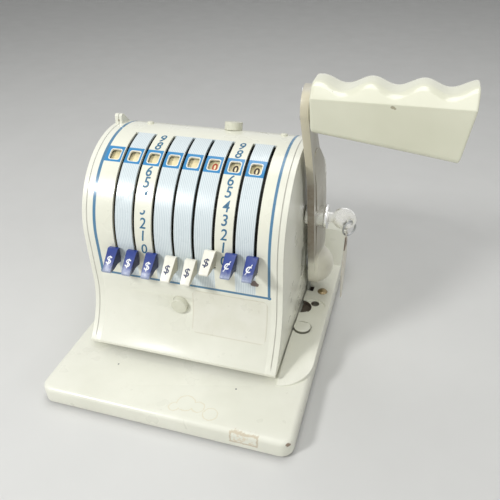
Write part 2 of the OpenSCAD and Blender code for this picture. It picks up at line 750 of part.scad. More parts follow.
// Front outline of the grip: waves on top, a lower edge that drops to the free end.
module grip_front() {
    intersection() {
        translate([0, grip_top - 60]) square([grip_len, 90]);
        translate([0, grip_top]) rotate(2.6) translate([0, -grip_top]) difference() {
            union() {
                translate([-9, -60]) translate([0, grip_top]) square([grip_len + 20, 60 - wave_d / 2]);
                for (i = [0:3]) translate([4.5 + i * wave_pitch, grip_top - wave_r]) circle(wave_r);
            }
            for (i = [0.5:2.5]) translate([4.5 + i * wave_pitch, grip_top - wave_d + wave_r]) circle(wave_r);
        }
    }
}

module grip_side() {
    ry = pad[0] - 23;
    polygon([
        [ry, grip_top - 5.7], [ry + 9, grip_top + 6],
        [ry + grip_d - 11, grip_top + 6], [ry + grip_d, grip_top - 6],
        [ry + grip_d, grip_low + 2], [ry + grip_d - 9, grip_low - grip_flare], [ry + 8, grip_low - grip_flare]
    ]);
}

module handle_grip() color([0.82, 0.85, 0.72]) difference() {
    intersection() {
        yz(grip_x, grip_len) grip_side();
        translate([grip_x, 60, 0]) rotate([90, 0, 0]) linear_extrude(160) difference() {
            grip_front();
            polygon([
                [-9, grip_low + 0.9], [grip_len + 9, grip_low - grip_flare - 1.6], [grip_len + 9, 0], [-9, 0]
            ]);
            polygon([
                [grip_len, grip_top - 5], [grip_len + 9, grip_top - 5], [grip_len + 9, 90],
                [grip_len - 4.5, grip_low - grip_flare - 3]
            ]);
        }
    }
    for (a = [-6.5, 6.5]) bar(grip_x - 1, 12, screw_r + fit_c, pad + [a * 0.35, a]);
}
module grip_screws() color([0.7, 0.7, 0.72]) for (a = [-6.5, 6.5]) {
    bar(arm_x - screw_head_h, screw_head_h, screw_head_r - 0.4, pad + [a * 0.35, a]);
    bar(arm_x - 0.5, arm_t + pad_t + 8, screw_r, pad + [a * 0.35, a]);
}

lock_len = 14;
module lock_barrel() color([0.8, 0.8, 0.82]) difference() {
    union() {
        bar(head_r + 0.5, lock_len, lock_r, [lock_y, lock_z]);
        bar(head_r + 0.5 + lock_len, 2.5, lock_r + 1.2, [lock_y, lock_z]);
    }
    bar(head_r + 8, 30, 4.5 + run, [lock_y, lock_z]);
}

lock_face = head_r + 0.5 + lock_len + 2.5;
bow_x = lock_face + 10.5 + 1.2;
hole_x = bow_x + 4.2;
hole_z = lock_z - 2;
module lock_key() color([0.74, 0.73, 0.68]) difference() {
    union() {
        bar(head_r + 8.2, lock_face - head_r - 7.9, 4.5, [lock_y, lock_z]);
        translate([lock_face, lock_y - 0.9, lock_z - blade_h / 2]) cube([6, 1.8, blade_h]);
        translate([bow_x, lock_y + 0.9, lock_z]) rotate([90, 0, 0]) cylinder(h = 1.8, r = bow_r);
    }
    translate([hole_x, lock_y + 5, hole_z]) rotate([90, 0, 0]) cylinder(h = 10, r = hole_r);
}

module key_ring() color([0.7, 0.7, 0.7]) translate([hole_x, lock_y, hole_z - ring_r])
    rotate([90, 0, 45]) rotate_extrude() translate([ring_r, 0]) circle(wire_r);

tag_z = hole_z - 2 * ring_r;
tag_x = hole_x - 1.9;
tag_y = lock_y - 1.5;
tag_t = 0.8;
tag_mid = tag_z - tag_len * 0.45;
module key_tag() color([0.78, 0.75, 0.6]) difference() {
    union() {
        yz(tag_x, tag_t) strap([tag_y, tag_z - 2], 5, [tag_y, tag_mid], tag_w / 2);
        yz(tag_x, tag_t) strap([tag_y, tag_mid], tag_w / 2, [tag_y, tag_z + 7 - tag_len], 4);
    }
    bar(hole_x - 5, 10, 2, [tag_y, tag_z + 0.4]);
}

// ---- platen --------------------------------------------------------------------------------

module platen() color([0.6, 0.6, 0.62])
    translate([platen_l, platen_y, yoke_z + yoke_t]) cube([platen_r - platen_l, platen_w, platen_h]);

module platen_pad() color([0.12, 0.12, 0.12])
    translate([platen_l, platen_y, platen_top - pad_h]) cube([platen_r - platen_l, platen_w, pad_h]);

module lift_link() color([0.62, 0.63, 0.65]) {
    y0 = strap_y - 14;
    cy = pivot_y + crank_r;
    translate([0, platen_y + 2, yoke_z]) cube([link_x + link_t, platen_w - 4, yoke_t]);
    translate([link_x - 6, platen_y + 2, yoke_z]) cube([6 + link_t, y0 + strap_w - platen_y - 2, yoke_t]);
    yz(link_x, link_t) {
        translate([y0, yoke_z]) square([strap_w, 30]);
        difference() {
            translate([y0, yoke_z + 23]) square([cy + 6 - y0, crank_z + 6 - yoke_z - 23]);
            translate([y0 - 1, pivot_z - 17]) square([pivot_y + shaft_r + 0.35 - y0 + 1, 30]);
            translate([y0 - 1, crank_z - crank_pin_r - fork_c])
                square([cy + crank_pin_r + 0.3 - y0 + 1, 2 * (crank_pin_r + fork_c)]);
        }
    }
}

// ---- button and knob -----------------------------------------------------------------------

module push_button() color([0.86, 0.85, 0.74]) {
    skirt_y = front_face - skirt_r + sqrt(skirt_r * skirt_r - (flare_z - button_z) * (flare_z - button_z));
    back = skirt_y + skin_t + 2.4;
    translate([button_x, skirt_y - button_out, button_z]) rotate([-90, 0, 0])
        cylinder(h = back - skirt_y + button_out + 0.1, r = button_r);
    translate([button_x, back, button_z]) rotate([-90, 0, 0]) cylinder(h = flange_t, r = flange_r);
    translate([button_x, back, button_z]) rotate([-90, 0, 0]) cylinder(h = bracket_y - back + 3, r = 2.5);
}

module thumb_knob() color([0.4, 0.3, 0.24]) translate([knob_x, 0, 0]) radial(90 + knob_lean) {
    translate([0, 0, face_r + 0.1]) cylinder(h = knob_h, r = knob_r);
    translate([0, 0, face_r - skin_t - 0.6]) cylinder(h = 3, r = 2.5);
    translate([0, 0, face_r - skin_t - 1.1]) cylinder(h = 0.8, r = 4);
}

// ---- drawing -------------------------------------------------------------------------------

placed() {
    base_casting();
    bottom_cover();
    rubber_feet();
    bottom_screws();
    stop_pad();
    shelf_screw();
    left_cheek();
    right_cheek();
    face_plate();
    front_skirt();
    rear_cover();
    throat_plate();
    top_screws();
    tie_rods();
    lever_axle();
    type_axle();
    axle_spacers();
    detent_bar();
    shaft_bushings();
    button_bracket();
    main_shaft();
    handle_arm();
    handle_grip();
    grip_screws();
    lock_barrel();
    lock_key();
    key_ring();
    key_tag();
    platen();
    platen_pad();
    lift_link();
    push_button();
    thumb_knob();
    for (k = [1:cols]) key_cap(k);
    for (k = [1:cols]) key_lever(k);
    for (k = [1:cols]) type_wheel(k);
}
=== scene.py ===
import bpy, bmesh, math
from mathutils import Vector, Matrix


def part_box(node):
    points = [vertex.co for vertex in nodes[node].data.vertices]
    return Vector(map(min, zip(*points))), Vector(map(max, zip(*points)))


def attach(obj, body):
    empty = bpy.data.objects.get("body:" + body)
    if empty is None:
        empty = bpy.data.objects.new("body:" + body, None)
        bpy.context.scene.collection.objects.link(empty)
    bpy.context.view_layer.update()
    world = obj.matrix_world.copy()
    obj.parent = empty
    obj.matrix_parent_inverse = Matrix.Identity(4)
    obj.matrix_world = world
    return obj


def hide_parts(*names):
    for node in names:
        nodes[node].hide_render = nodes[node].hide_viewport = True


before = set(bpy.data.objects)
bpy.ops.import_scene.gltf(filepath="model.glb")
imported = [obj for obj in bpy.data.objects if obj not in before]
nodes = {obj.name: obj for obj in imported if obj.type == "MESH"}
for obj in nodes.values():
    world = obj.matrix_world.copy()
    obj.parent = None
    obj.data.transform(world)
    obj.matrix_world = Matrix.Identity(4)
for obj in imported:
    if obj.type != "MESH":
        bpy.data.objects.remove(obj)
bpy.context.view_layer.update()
mm = 0.001
perMetre = 1000   # mm in a metre
baseLow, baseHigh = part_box("base_casting")
baseX = (baseLow.x + baseHigh.x) / 2   # middle of the base, in the frame
print("frame loaded:", len(nodes), "nodes")

# the head, in mm from the middle of the base, as in the part's source
head = {
    "axleY": 9.8, "axleZ": 103.0, "faceR": 60.8, "faceY": -51.0, "flareZ": 68.0, "skirtR": 62.0,
    "firstSlot": -51.4, "pitch": 14.5, "windowAngle": 59.5, "step": 8.8, "leftInside": -68.0, "rightInside": 61.0,
}


def place(x, y, z):
    return Vector((baseX + x * mm, y * mm, z * mm))


def onDrum(x, angle, radius):
    # a point at an angle above the front, seen from the lever axle
    a = math.radians(angle)
    return place(x, head["axleY"] - radius * math.cos(a), head["axleZ"] + radius * math.sin(a))


def faceAtHeight(x, s, out=0.0):
    # s is the way up the face in mm: along the arc above the axle, straight below it
    if s >= 0:
        return onDrum(x, math.degrees(s / head["faceR"]), head["faceR"] + out)
    return place(x, head["faceY"] - out, head["axleZ"] + s)


def skirtPoint(x, z, out=0.0):
    if z >= head["flareZ"]:
        return place(x, head["faceY"] - out, z)
    a = math.asin((head["flareZ"] - z) / head["skirtR"])
    r = head["skirtR"] - out
    return place(x, head["faceY"] - head["skirtR"] + r * math.cos(a), head["flareZ"] - r * math.sin(a))


def slotX(k):
    return head["firstSlot"] + (k - 1) * head["pitch"]


def arcLength(angle):
    return math.radians(angle) * head["faceR"]


def hexColor(text):
    parts = [int(text[i:i + 2], 16) / 255 for i in (1, 3, 5)]
    return tuple(c / 12.92 if c <= 0.04045 else ((c + 0.055) / 1.055) ** 2.4 for c in parts) + (1.0,)


def addNode(mat, kind, inputs=(), **settings):
    # inputs are numbers, sockets or other nodes, in order or by the input's number or name
    node = mat.node_tree.nodes.new("ShaderNode" + kind)
    for key, value in settings.items():
        setattr(node, key, value)
    return feed(mat, node, inputs)


def feed(mat, node, inputs):
    for key, value in inputs.items() if isinstance(inputs, dict) else enumerate(inputs):
        if isinstance(value, bpy.types.Node):
            value = next(out for out in value.outputs if out.enabled)
        if isinstance(value, bpy.types.NodeSocket):
            mat.node_tree.links.new(value, node.inputs[key])
        else:
            node.inputs[key].default_value = value
    return node


def shaderOf(mat):
    return mat.node_tree.nodes["Principled BSDF"]


def mask(mat, value, low, high, edge=0.12):
    # 1 between low and high, with a ramp of the width edge at both ends
    rise = addNode(mat, "MapRange", (value, low - edge, low + edge))
    fall = addNode(mat, "MapRange", (value, high + edge, high - edge))
    return addNode(mat, "Math", (rise, fall), operation="MULTIPLY")


def combined(mat, masks, operation):
    total = masks[0]
    for one in masks[1:]:
        total = addNode(mat, "Math", (total, one), operation=operation)
    return total


def anyOf(mat, masks):
    return combined(mat, masks, "MAXIMUM")


def allOf(mat, masks):
    return combined(mat, masks, "MULTIPLY")


def layered(mat, under, over, masks, strength=1.0):
    # lays a colour over the one below where all the masks are 1
    over = hexColor(over) if isinstance(over, str) else over
    share = allOf(mat, list(masks) + ([] if strength == 1.0 else [strength]))
    return addNode(mat, "Mix", {0: share, 6: under, 7: over}, data_type="RGBA")


def axes(mat, position):
    # x, y and z in mm from the middle of the base
    shifted = addNode(mat, "VectorMath", (position, (-baseX, 0, 0)), operation="ADD")
    inMm = addNode(mat, "VectorMath", (shifted, (perMetre, perMetre, perMetre)), operation="MULTIPLY")
    return addNode(mat, "SeparateXYZ", [inMm]).outputs


def facing(mat):
    # the three parts of the direction that the surface faces
    return addNode(mat, "SeparateXYZ", [addNode(mat, "TexCoord").outputs["Normal"]]).outputs


def cloud(mat, position, sizeMm, low=0.0, high=1.0, toLow=0.0, toHigh=1.0, detail=3.0, roughness=0.55):
    # noise with blobs of a real size, stretched to the range wanted
    grain = addNode(mat, "TexNoise", {"Vector": position, "Scale": perMetre / sizeMm, "Detail": detail,
                                      "Roughness": roughness})
    return addNode(mat, "MapRange", (grain, low, high, toLow, toHigh))


spotEdge = {"grain": 2.2, "soft": 0.35}   # mm


def spots(mat, position, places, ragged):
    # 1 inside the given balls, (x, y, z, radius in mm), with a ragged edge
    wobble = cloud(mat, position, spotEdge["grain"], toLow=-ragged * mm / 2, toHigh=ragged * mm / 2, detail=4.0)
    made = []
    for x, y, z, radius in places:
        away = addNode(mat, "VectorMath", (position, place(x, y, z)), operation="DISTANCE")
        far = addNode(mat, "Math", (away, wobble), operation="ADD")
        made.append(addNode(mat, "MapRange", (far, radius * mm, (radius - spotEdge["soft"]) * mm)))
    return anyOf(mat, made)


# how far the tones and the gloss of every surface vary, and over which part of the grain
unevenness = {"tone": (0.35, 0.65), "glossGrain": 0.6, "gloss": (0.3, 0.7), "glossShare": (0.85, 1.2),
              "coatRoughness": 0.12, "relief": 0.6}


def surface(name, colour, second, roughness, grain, bump=0.0, bumpMm=1.0, metallic=0.0, coat=0.0):
    # base for the finishes below: two close tones over a grain size in mm, uneven gloss and a fine relief
    u = unevenness
    mat = bpy.data.materials.new(name)
    mat.use_nodes = True
    position = addNode(mat, "TexCoord").outputs["Object"]
    tone = layered(mat, hexColor(colour), second, [cloud(mat, position, grain, *u["tone"])])
    smooth, rough = (roughness * share for share in u["glossShare"])
    gloss = cloud(mat, position, grain * u["glossGrain"], *u["gloss"], smooth, min(1.0, rough))
    feed(mat, shaderOf(mat), {"Base Color": tone, "Roughness": gloss, "Metallic": metallic, "Coat Weight": coat,
                              "Coat Roughness": u["coatRoughness"]})
    if bump:
        height = cloud(mat, position, bumpMm, detail=2.0)
        fine = addNode(mat, "Bump", {"Height": height, "Distance": bump * mm, "Strength": u["relief"]})
        feed(mat, shaderOf(mat), {"Normal": fine})
    return mat, position, tone


# baked enamel on cast metal: warm off-white, slightly wavy gloss, faint yellow grime
enamel = {"main": "#EBEBDD", "second": "#E4E4D5", "roughness": 0.3, "grain": 38, "waveMm": 3.0, "coat": 0.2,
          "grimeAndSideShade": "#CBC6B2", "grimeGrain": 9, "grimeFrom": 0.62, "grimeFull": 0.8, "grimeMost": 0.3}


def bakedEnamel(name, wave=0.05):
    e = enamel
    mat, position, colour = surface(name, e["main"], e["second"], e["roughness"], e["grain"], wave, e["waveMm"],
                                    coat=e["coat"])
    grimeAndSideShade = cloud(mat, position, e["grimeGrain"], e["grimeFrom"], e["grimeFull"], 0.0, e["grimeMost"], 6.0, 0.7)
    return mat, position, layered(mat, colour, e["grimeAndSideShade"], [grimeAndSideShade])


def finished(mat, colour):
    # gives the shader its last colour
    feed(mat, shaderOf(mat), {"Base Color": colour})
    return mat


def plainEnamel():
    mat, position, colour = bakedEnamel("bakedEnamel")
    return finished(mat, colour)


# the same enamel on the cheeks, with the grooved line along their rims darkened as painted shade, and painted shade for
# a small hole in the left lug
shadedGroove = {"lines": ((64.9, 65.3), (-72.5, -72.1)), "soft": 0.2, "flatSide": 0.93, "foot": (24, 27), "depth": 0.5,
          "colour": "#8E8B7B", "grooveShadeShare": 0.34, "lugHoleShade": (-72.4, 13, 166.2, 1.0), "lugHoleShadeColour": "#9C8E76"}


def cheekEnamel():
    g = shadedGroove
    mat, position, colour = bakedEnamel("bakedEnamelShadedGroove", 0.0)
    x, y, z = axes(mat, position)
    sideways = addNode(mat, "Math", [facing(mat)[0]], operation="ABSOLUTE")
    rim = addNode(mat, "Math", (sideways, g["flatSide"]), operation="LESS_THAN")
    lines = anyOf(mat, [mask(mat, x, low, high, g["soft"]) for low, high in g["lines"]])
    cut = allOf(mat, [lines, rim, addNode(mat, "MapRange", (z, *g["foot"]))])
    sunk = addNode(mat, "Bump", {"Height": cut, "Distance": -g["depth"] * mm, "Strength": 1.0})
    feed(mat, shaderOf(mat), {"Normal": sunk})
    # painted shade darkens the sunk groove
    colour = layered(mat, colour, g["colour"], [cut], g["grooveShadeShare"])
    # a dark dot on the left lug's front, painted as the shade in a small screw hole
    lugHoleMask = spots(mat, position, [g["lugHoleShade"]], 0.5)
    return finished(mat, layered(mat, colour, g["lugHoleShadeColour"], [lugHoleMask], 0.8))


# the same enamel on the base: taped patch on the front edge, chipped corner, yellowed rings, and a pocket and hole
# painted dark as bare metal and as painted shade
baseMarks = {
    "frontY": -112.5, "tapeX": (50.5, 70), "tapeZ": (6.4, 15.2), "tapeInX": (51.6, 68.8), "tapeInZ": (7.6, 14.0),
    "ragged": 1.2, "tapeEdge": "#B59C74", "tape": "#D9C6A6",
    "rings": [(15, -103, 15.5, 7.0), (24, -104, 15.5, 5.0), (34, -107.5, 15.5, 5.5), (8, -108, 15.5, 4.0)],
    "ringWidth": 0.8, "ring": "#D8CBA6",
    "chips": [(90.3, -116.2, 13.0, 2.6), (88.0, -117.2, 14.6, 1.2), (91.2, -113.0, 14.6, 1.1), (91.9, -104, 14.2, 0.8)],
    "chip": "#7A5C42", "dots": [(-47.3, -82.2, 15.5, 0.75), (43.9, -81.9, 15.5, 0.75)], "dot": "#4B4A52",
    "bareX": (60.0, 84.5), "bareY": (3.0, 43.0), "bareZ": (15.9, 21.0), "shelfTop": 20.7, "holeFrom": 78.3,
    "pocket": "#4A382B", "hole": "#77756A",
}


def baseEnamel():
    b = baseMarks
    mat, position, colour = bakedEnamel("bakedEnamelChipped")
    x, y, z = axes(mat, position)
    ragged = cloud(mat, position, 3.0, toLow=-b["ragged"], toHigh=b["ragged"], detail=5.0, roughness=0.7)
    patchX, patchZ = (addNode(mat, "Math", (one, ragged), operation="ADD") for one in (x, z))
    front = addNode(mat, "Math", (y, b["frontY"]), operation="LESS_THAN")
    outer = allOf(mat, [mask(mat, patchX, *b["tapeX"], 0.2), mask(mat, patchZ, *b["tapeZ"], 0.2), front])
    inner = allOf(mat, [mask(mat, patchX, *b["tapeInX"], 0.3), mask(mat, patchZ, *b["tapeInZ"], 0.3), front])
    edge = addNode(mat, "Math", (outer, inner), operation="SUBTRACT")
    colour = layered(mat, colour, b["tapeEdge"], [edge], 0.55)
    flaked = cloud(mat, position, 3.5, 0.5, 0.6, detail=4.0, roughness=0.7)
    colour = layered(mat, colour, b["tape"], [inner, flaked], 0.6)
    inside = [r[:3] + (r[3] - b["ringWidth"],) for r in b["rings"]]
    ring = addNode(mat, "Math", [spots(mat, position, places, 2.0) for places in (b["rings"], inside)],
                   operation="SUBTRACT")
    colour = layered(mat, colour, b["ring"], [ring], 0.4)
    colour = layered(mat, colour, b["chip"], [spots(mat, position, b["chips"], 2.6)], 0.85)
    colour = layered(mat, colour, b["dot"], [spots(mat, position, b["dots"], 0.4)])
    # the pocket under the hub and the hole beside it are painted dark inside, as bare metal and as painted shade
    low = addNode(mat, "Math", (z, b["shelfTop"]), operation="LESS_THAN")
    pocketZone = [mask(mat, x, *b["bareX"], 0.1), mask(mat, y, *b["bareY"], 0.1), low, mask(mat, z, *b["bareZ"], 0.1)]
    hole = addNode(mat, "Math", (x, b["holeFrom"]), operation="GREATER_THAN")
    colour = layered(mat, colour, b["pocket"], pocketZone, 0.92)
    return finished(mat, layered(mat, colour, b["hole"], pocketZone + [hole]))


# printed and lacquered sheet: cream ground, grey-blue columns with fine ruling, bright blue window band
printed = {
    "cream": "#EAEADA", "second": "#E5E5D4", "silver": "#DBE4E6", "rule": "#BDCBCF", "rulePitch": 1.25,
    "border": "#2C7199", "band": "#3186BC", "rim": "#F4F1E2", "top": 82.3, "foot": -26.5,
    "bandMiddle": 59.9, "bandBelow": 6.6, "bandAbove": 6.4, "bandLeft": -65.4, "bandRight": 0.6,
    "leftLine": (0.4, 2.7), "rightLine": (2.4, 0.5), "footLine": (-28.6, -26.8),
    "windowHalf": (2.6, 2.9, 0), "rimWidth": 1.8, "rimSoft": 0.2, "slotGap": 1.55,
    "spotBelowKey8": [(48.8, -51, 86.0, 2.7), (50.8, -51, 85.4, 1.8)], "spotBelowKey8Colour": "#5A3B30",
}


def printedFace():
    p = printed
    mat, position, colour = surface("printedLacquer", p["cream"], p["second"], 0.28, 30, 0.02, coat=0.35)
    x, y, z = axes(mat, position)
    depth = addNode(mat, "Math", (head["axleY"], y), operation="SUBTRACT")
    height = addNode(mat, "Math", (z, head["axleZ"]), operation="SUBTRACT")
    turned = addNode(mat, "Math", (addNode(mat, "Math", (height, depth), operation="ARCTAN2"), head["faceR"]),
                     operation="MULTIPLY")
    upper = addNode(mat, "Math", (height, 0.0), operation="GREATER_THAN")
    s = addNode(mat, "Mix", {0: upper, 2: height, 3: turned})   # way up the face, as in faceAtHeight
    ruled = addNode(mat, "Math", [addNode(mat, "Math", (x, 2 * math.pi / p["rulePitch"]), operation="MULTIPLY")],
                    operation="SINE")
    silver = layered(mat, hexColor(p["silver"]), p["rule"], [addNode(mat, "MapRange", (ruled, 0.1, 0.9))])
    columns = anyOf(mat, [mask(mat, x, slotX(a), slotX(b)) for a, b in ((1, 2), (3, 6), (7, 8))])
    colour = layered(mat, colour, silver, [columns, mask(mat, s, p["foot"], arcLength(p["top"]))])
    # border lines down both sides and across the lower edge
    left, right = head["leftInside"], head["rightInside"]
    (near, far), (deep, shallow) = p["leftLine"], p["rightLine"]
    lines = [mask(mat, x, left + near, left + far), mask(mat, x, right - deep, right - shallow),
             mask(mat, s, *p["footLine"])]
    colour = layered(mat, colour, p["border"], [anyOf(mat, lines)], 0.94)
    # window band, with a pale rim round each window
    middle = arcLength(p["bandMiddle"])
    band = allOf(mat, [mask(mat, s, middle - p["bandBelow"], middle + p["bandAbove"]),
                       mask(mat, x, p["bandLeft"], slotX(8) - p["bandRight"])])
    colour = layered(mat, colour, p["band"], [band])
    pale = []
    for k in range(1, 9):
        centre = (slotX(k) - head["pitch"] / 2, arcLength(head["windowAngle"]), 0)
        flat = addNode(mat, "VectorMath", (addNode(mat, "CombineXYZ", (x, s, 0.0)), centre), operation="SUBTRACT")
        flat = addNode(mat, "VectorMath", [flat], operation="ABSOLUTE")
        flat = addNode(mat, "VectorMath", (flat, p["windowHalf"]), operation="SUBTRACT")
        flat = addNode(mat, "VectorMath", (flat, (0, 0, 0)), operation="MAXIMUM")
        away = addNode(mat, "VectorMath", [flat], operation="LENGTH")
        pale.append(addNode(mat, "MapRange", (away, p["rimWidth"], p["rimWidth"] - p["rimSoft"])))
        if k < 8:   # the print stops short of the slots
            pale.append(mask(mat, x, slotX(k) - p["slotGap"], slotX(k), 0.1))
    colour = layered(mat, colour, p["rim"], [anyOf(mat, pale), band])
    # a dark reddish-brown spot just below key 8
    spotBelowKey8 = spots(mat, position, p["spotBelowKey8"], 2.4)
    return finished(mat, layered(mat, colour, p["spotBelowKey8Colour"], [spotBelowKey8], 0.9))


# enamel on the forged arm, darkened as painted shade, with painted light on the hub and on the top of its front edge,
# the front edge lower down rubbed through to brown and darkened as painted shadow of the grip, and painted shade under
# the foot; heights in mm where a tone fades in
armLightShadeAndWear = {"hub": "#F2F0E0", "hubFade": (68, 60), "frontFade": (-0.45, -0.75), "frontTo": 78.2, "frontLight": "#D5CDB2",
           "frontLightFade": (140, 160), "wornAndShaded": "#85796A", "wornShadedTop": (152, 132), "wornShadedFoot": (60, 80), "under": "#8A7A64",
           "underShadeFade": (50, 34), "underShadeTurn": (0.2, -0.5)}


def armPaint():
    w = armLightShadeAndWear
    # the base tone is the cream enamel darkened as painted shade
    mat, position, colour = surface("rubbedAndShadedEnamel", "#C3BFB1", "#B6B2A4", 0.36, 18, 0.05, 2.0)
    x, y, z = axes(mat, position)
    turned = facing(mat)
    # painted light on the hub at the foot of the arm
    colour = layered(mat, colour, w["hub"], [addNode(mat, "MapRange", (z, *w["hubFade"]))])
    front = [addNode(mat, "MapRange", (turned[1], *w["frontFade"])),
             addNode(mat, "Math", (x, w["frontTo"]), operation="LESS_THAN")]
    # painted light on the top of the front edge
    colour = layered(mat, colour, w["frontLight"], front + [addNode(mat, "MapRange", (z, *w["frontLightFade"]))], 0.7)
    # rubbed brown and painted shadow of the grip lower on the front edge
    streak = cloud(mat, position, 5, 0.3, 0.7, 0.6, 1.0, 5.0, 0.7)
    wornAndShaded = front + [addNode(mat, "MapRange", (z, *w["wornShadedTop"])), addNode(mat, "MapRange", (z, *w["wornShadedFoot"])), streak]
    colour = layered(mat, colour, w["wornAndShaded"], wornAndShaded)
    # painted shade on the downward faces near the foot
    under = [addNode(mat, "MapRange", (z, *w["underShadeFade"])), addNode(mat, "MapRange", (turned[2], *w["underShadeTurn"]))]
    return finished(mat, layered(mat, colour, w["under"], under, 0.5))


# moulded urea, blue or cream: dense colour, satin skin, painted shade on the sides, pale rub at the tip of the blue
# ones
def keyPlastic(name, colour, second, grimeAndSideShade, rub=None):
    mat, position, out = surface(name, colour, second, 0.34, 7, 0.03, 1.4)
    sideways = addNode(mat, "Math", [facing(mat)[0]], operation="ABSOLUTE")
    out = layered(mat, out, grimeAndSideShade, [addNode(mat, "MapRange", (sideways, 0.5, 0.85))], 0.75)   # painted shade on the sides
    if rub:
        tip = addNode(mat, "Attribute", attribute_name="tipWear").outputs["Fac"]
        rough = cloud(mat, position, 2.6, 0.3, 0.7, 0.0, 0.2, 3.0, 0.6)
        wornAndShaded = addNode(mat, "MapRange", (addNode(mat, "Math", (tip, rough), operation="ADD"), 0.75, 1.2))
        out = layered(mat, out, rub, [wornAndShaded], 0.65)
    return finished(mat, out)


# moulded grip plastic: glossy greenish ivory, scuffed in a few places
scuffs = [(124.3, -41.2, 209.3, 1.3), (125.4, -41.4, 208.5, 0.8), (91.5, -38, 214.0, 0.6), (93.4, -38, 213.4, 0.5),
          (143, -37.5, 214.0, 0.7), (152.5, -37.5, 212.0, 0.5), (163, -37.5, 212.6, 0.6), (161, -37.5, 211.6, 0.5)]


def gripPlastic():
    mat, position, colour = surface("mouldedGrip", "#E2E2CC", "#DBDBC4", 0.2, 45, 0.03, 6.0, coat=0.4)
    return finished(mat, layered(mat, colour, "#8A8060", [spots(mat, position, scuffs, 1.6)], 0.7))


# aged celluloid tag with a rust stain under its hole
tagRust = [(100.4, 13, 86.5, 5.2), (100.4, 20, 83, 3.6)]


def agedTag():
    mat, position, colour = surface("agedCelluloid", "#D8D3C3", "#E2DED0", 0.4, 8, 0.05, 3.0)
    return finished(mat, layered(mat, colour, "#6E5A44", [spots(mat, position, tagRust, 3.0)], 0.85))


# enamelled top, with the sides painted dark as bare steel and as painted shade
def studEnamel():
    mat, position, colour = bakedEnamel("enamelTopStudShadedSides")
    side = addNode(mat, "Math", (facing(mat)[2], 0.5), operation="LESS_THAN")
    return finished(mat, layered(mat, colour, "#6A6A5C", [side], 0.9))


# coated paper label, with a painted shadow line along its rim
label = {"x": (3.2, 58.6), "z": (38.6, 71.6), "round": 4.0, "thick": 0.16, "rim": 0.7, "lift": 0.02, "band": 2,
         "cornerSteps": 6}


def labelPaper():
    mat, position, colour = surface("coatedPaper", "#E6E5D8", "#E1E0D1", 0.3, 14, 0.02, 2.0)
    x, y, z = axes(mat, position)
    (x0, x1), (z0, z1), rim = label["x"], label["z"], label["rim"]
    inside = [mask(mat, x, x0 + rim, x1 - rim, 0.3), mask(mat, z, z0 + rim, z1 - rim, 0.3)]
    # the rim is darker as a painted shadow line
    return finished(mat, layered(mat, hexColor("#D9D6C5"), colour, inside))


paint = {
    "enamel": plainEnamel(), "cheek": cheekEnamel(), "base": baseEnamel(), "face": printedFace(),
    "arm": armPaint(), "grip": gripPlastic(), "tag": agedTag(), "stud": studEnamel(), "label": labelPaper(),
    # tumbled steel, bright, and for the levers in the slots darkened as painted shade; bright plate; bronzed and buffed
    # metal; dull cast type metal
    "steel": surface("tumbledSteel", "#A9ABAB", "#BFC1C0", 0.34, 6, 0.02, 0.6, 1.0)[0],
    "darkSteel": surface("leverSteelDarkenedAsShade", "#33332F", "#403F3B", 0.5, 6, 0.02, 0.6, 1.0)[0],
    "chrome": surface("chromePlate", "#F0F0EE", "#F7F7F5", 0.26, 12, 0.01, 1.5, 1.0)[0],
    "nickel": surface("nickelPlate", "#EFEEEA", "#F7F6F2", 0.28, 12, 0.01, 1.5, 1.0)[0],
    "bronzed": surface("bronzedSteel", "#8A7A5C", "#9B8C6E", 0.3, 5, 0.02, 0.8, 1.0)[0],
    "brass": surface("turnedBrass", "#B8934E", "#C9A763", 0.3, 9, 0.03, 1.0, 1.0)[0],
    "type": surface("castTypeMetal", "#7D7B74", "#93918A", 0.5, 4, 0.06, 1.0, 1.0)[0],
    # matt moulded rubber, glossy black japan, satin moulded keys, strip lacquer and flat inks
    "rubber": surface("mouldedRubber", "#1E1E1E", "#2A2A29", 0.8, 3, 0.05)[0],
    "japan": surface("blackJapan", "#1E1D1C", "#292725", 0.4, 10, 0.04)[0],
    "blueKey": keyPlastic("blueUrea", "#26387F", "#2F4389", "#10142E", "#C9D2DC"),
    "whiteKey": keyPlastic("creamUrea", "#EFEEE2", "#E9E7D9", "#B3AD93"),
    "ivory": surface("ivoryUrea", "#DCDCCB", "#D5D5C2", 0.3, 7, 0.03, 1.4)[0],
    "strip": surface("stripLacquer", "#F0E4BC", "#E6D8AA", 0.4, 12, 0.03)[0],
    "digitInk": surface("blueInk", "#2C6485", "#38708E", 0.45, 5, 0.02)[0],
    "darkInk": surface("darkInk", "#2E2420", "#3F332D", 0.5, 1.5, 0.02)[0],
    "redInk": surface("redInk", "#A8402C", "#B4533B", 0.5, 1.5, 0.02)[0],
    "signWhite": surface("whiteFill", "#F1F2EF", "#E4E6E8", 0.45, 1.5, 0.02)[0],
    "signDark": surface("darkFill", "#2C3350", "#3A4160", 0.45, 1.5, 0.02)[0],
}
print("materials made:", len(paint))


def link(obj):
    bpy.context.scene.collection.objects.link(obj)
    return obj


def toObject(name, bm, material, body=None, smoothAngle=35.0):
    bmesh.ops.recalc_face_normals(bm, faces=bm.faces)
    mesh = bpy.data.meshes.new(name)
    bm.to_mesh(mesh)
    bm.free()
    mesh.materials.append(material)
    shadeByAngle(mesh, smoothAngle)
    obj = link(bpy.data.objects.new(name, mesh))
    if body:
        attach(obj, body)
    return obj


def shadeByAngle(mesh, degrees):
    for poly in mesh.polygons:
        poly.use_smooth = True
    mesh.set_sharp_from_angle(angle=math.radians(degrees))


def applied(obj):
    # the evaluated object as a plain mesh, with its modifiers gone
    bpy.context.view_layer.update()
    graph = bpy.context.evaluated_depsgraph_get()
    made = bpy.data.meshes.new_from_object(obj.evaluated_get(graph))
    obj.modifiers.clear()
    obj.data = made
    return obj


